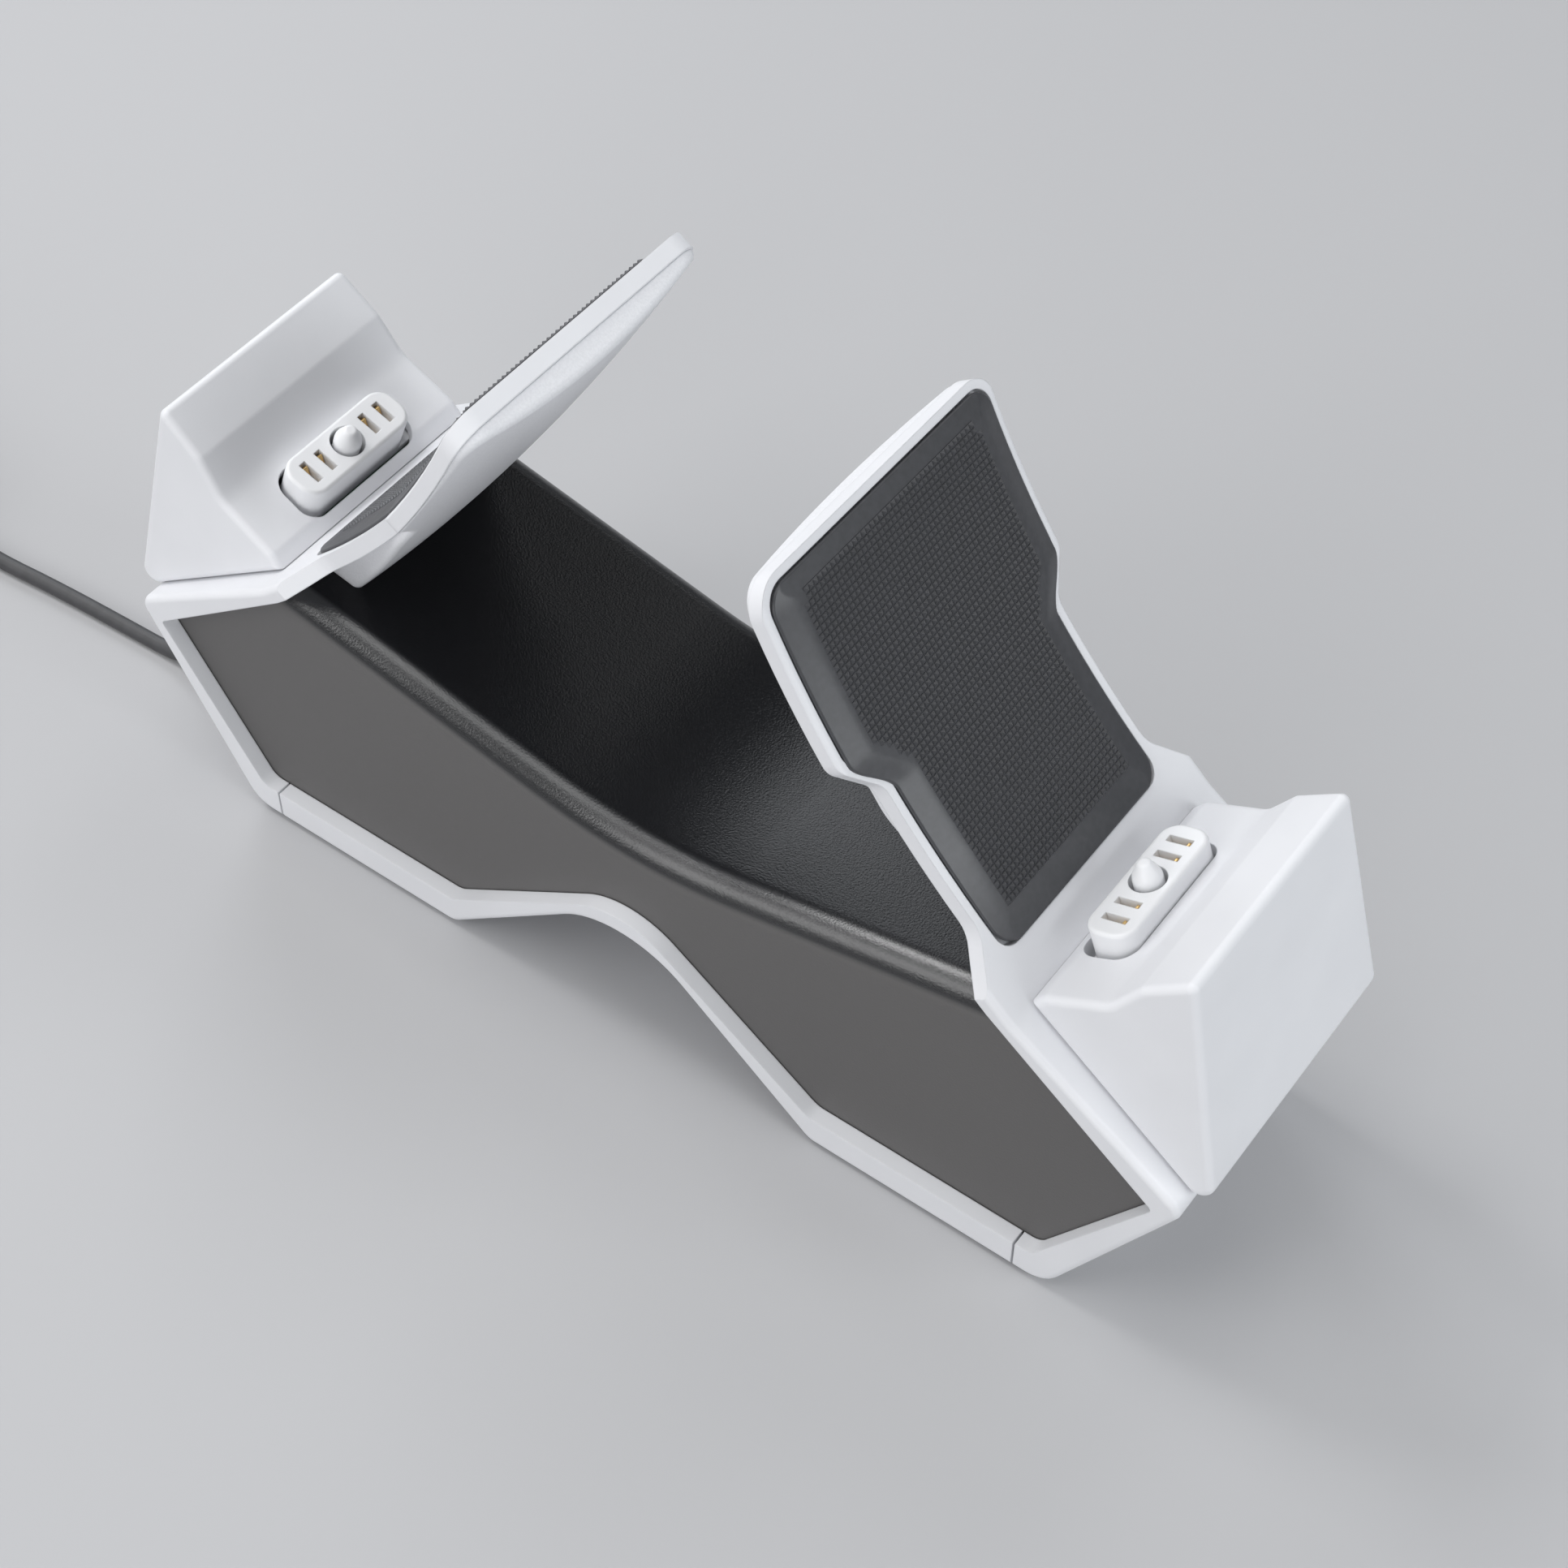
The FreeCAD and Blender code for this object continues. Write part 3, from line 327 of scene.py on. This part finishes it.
# Power lead: a soft dark grey sheath from the ringed sleeve in the left flank, over the
# table to a tied coil of its spare length, and on to a moulded plug with a metal shell.
sheath_grey = (0.055, 0.055, 0.058)
sheath_tones = ((0.050, 0.050, 0.053), (0.062, 0.062, 0.066))
tie_black = (0.02, 0.02, 0.02)
shell_metal = (0.7, 0.7, 0.72)

sheath, tree, shader = new_material("cord_sheath", sheath_grey, 0.5)
tone = ramp(tree, noise(tree, 500.0), 0.3, 0.7, *sheath_tones)
tree.links.new(tone, shader.inputs["Base Color"])
bump(tree, shader, noise(tree, 3500.0), 0.2, 0.00003)
dress(sheath, "lead_sleeve", "lead_plug", "power_lead", "lead_coil")

tie, tree, shader = new_material("tie_plastic", tie_black, 0.6)
bump(tree, shader, noise(tree, 2500.0), 0.3, 0.00004)
dress(tie, "coil_tie")

shell, tree, shader = new_material("plug_metal", shell_metal, 0.3)
shader.inputs["Metallic"].default_value = 1.0
bump(tree, shader, noise(tree, 1800.0), 0.15, 0.00002)
dress(shell, "plug_shell")

lead = 0.003
out_of_sleeve = [(-0.10864, -0.0117, 0.0078), (-0.12075, -0.0117, 0.0015), (-0.1370, -0.0122, 0.0015),
                 (-0.1560, -0.0130, 0.0015), (-0.1740, -0.0146, 0.0015), (-0.1875, -0.0120, 0.0015),
                 (-0.2003, -0.0120, 0.0015)]
to_plug = [(-0.2285, -0.0397, 0.0015), (-0.2290, -0.0546, 0.0015), (-0.2186, -0.0650, 0.0041),
           (-0.2038, -0.0650, 0.0041)]
coil_middle = (-0.212, -0.028)
inner_turn = 0.012
last_turn = 0.0152
turn_start = 112.5
per_turn = 16
# Where each turn lies in the coil's section, as columns outwards and rows upwards.
places = [(2, 0), (3, 0), (3, 1), (2, 1), (2, 2), (3, 2), (3, 3), (2, 3),
          (1, 3), (0, 3), (0, 2), (1, 2), (1, 1), (0, 1), (0, 0), (1, 0)]
# The spline runs inside its points, so they lie this much further out than the turn.
polygon_reach = 1.0142
steps_over = 4

turns = []
for k, (column, row) in enumerate(places):
    ahead = places[min(k + 1, len(places) - 1)]
    for i in range(per_turn):
        angle = np.radians(turn_start) + 2 * np.pi * i / per_turn
        shift = np.clip((i - per_turn + steps_over) / steps_over, 0.0, 1.0)
        radius = inner_turn + lead * (column + (ahead[0] - column) * shift)
        height = lead / 2 + lead * (row + (ahead[1] - row) * shift)
        spread = radius * polygon_reach
        turns.append((coil_middle[0] + spread * np.cos(angle),
                      coil_middle[1] + spread * np.sin(angle), height))
turns += [(coil_middle[0] + last_turn * np.cos(a), coil_middle[1] + last_turn * np.sin(a), lead / 2)
          for a in np.radians([turn_start, 135.0, 157.5])]
route = out_of_sleeve + turns + to_plug

line = bpy.data.curves.new("power_lead_line", "CURVE")
line.dimensions = "3D"
line.bevel_depth = lead / 2
line.bevel_resolution = 4
line.resolution_u = 4
line.use_fill_caps = True
spline = line.splines.new("NURBS")
spline.points.add(len(route) - 1)
for point, here in zip(spline.points, route):
    point.co = (*here, 1.0)
spline.order_u = 3
spline.use_endpoint_u = True
power_lead = bpy.data.objects.new("power_lead_visual", line)
bpy.context.collection.objects.link(power_lead)
line.materials.append(sheath)
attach(power_lead, "root")
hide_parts("power_lead", "lead_coil")

# The studio: a plain pale table under seven square soft lamps, with a weak even light
# from all round, seen by a camera at the photograph's angle.
floor_half = 4
floor_paper = (0.50, 0.50, 0.51)
room_light = (0.91, 0.95, 1.0, 1.0)
room_strength = 0.19
cool = (0.93, 0.96, 1.0)
slightly_cool = (0.95, 0.98, 1.0)
plain_white = (1.0, 1.0, 1.0)

ground = bpy.data.meshes.new("floor")
corners = [(-floor_half, -floor_half, 0), (floor_half, -floor_half, 0),
           (floor_half, floor_half, 0), (-floor_half, floor_half, 0)]
ground.from_pydata(corners, [], [(0, 1, 2, 3)])
floor = bpy.data.objects.new("floor", ground)
bpy.context.collection.objects.link(floor)
pale, tree, shader = new_material("floor_paper", floor_paper, 0.9, 0.1)
ground.materials.append(pale)

world = bpy.data.worlds.new("studio")
world.use_nodes = True
world.node_tree.nodes["Background"].inputs["Color"].default_value = room_light
world.node_tree.nodes["Background"].inputs["Strength"].default_value = room_strength
bpy.context.scene.world = world


def placed_by_axes(right, up, back, place):
    """The matrix that puts an object's own X, Y and Z along these three axes, at this place."""
    return Matrix([(right[i], up[i], back[i], place[i]) for i in range(3)] + [(0.0, 0.0, 0.0, 1.0)])


def softbox(name, place, aim, size, power, colour=plain_white):
    """A square area light that faces the point aimed at."""
    lamp = bpy.data.lights.new(name, "AREA")
    lamp.size = size
    lamp.energy = power
    lamp.color = colour
    lamp_object = bpy.data.objects.new(name, lamp)
    back = (np.array(place) - np.array(aim)) / np.linalg.norm(np.array(place) - np.array(aim))
    side = np.cross((0.0, 0.0, 1.0), back)
    side /= np.linalg.norm(side)
    lamp_object.matrix_world = placed_by_axes(side, np.cross(back, side), back, place)
    bpy.context.collection.objects.link(lamp_object)


dock = (0.0, 0.0, 0.05)
softbox("left_light", (-0.79, -0.02, 1.05), dock, 0.4, 4.6)
softbox("back_left_light", (-0.91, 0.68, 0.69), dock, 0.5, 4.1, cool)
softbox("front_left_light", (-0.70, -0.89, 0.69), dock, 0.7, 4.5)
softbox("front_light", (0.30, -1.20, 0.42), dock, 0.8, 4.2)
softbox("right_light", (1.17, 0.10, 0.55), dock, 0.8, 7.2, slightly_cool)
softbox("top_light", (-0.17, -0.25, 1.32), dock, 0.85, 5.2)
softbox("back_light", (-0.02, 0.82, 1.08), dock, 0.45, 1.3)

camera_right = (0.807480, 0.589876, 0.004715)
camera_up = (-0.454615, 0.617188, 0.642187)
camera_back = (0.375901, -0.520696, 0.766534)
camera_place = (0.198856, -0.258289, 0.427953)

view = bpy.data.cameras.new("camera")
view.sensor_width = 36.0
view.lens = 68.456
camera = bpy.data.objects.new("camera", view)
camera.matrix_world = placed_by_axes(camera_right, camera_up, camera_back, camera_place)
bpy.context.collection.objects.link(camera)
bpy.context.scene.camera = camera
bpy.context.scene.view_settings.view_transform = "Standard"
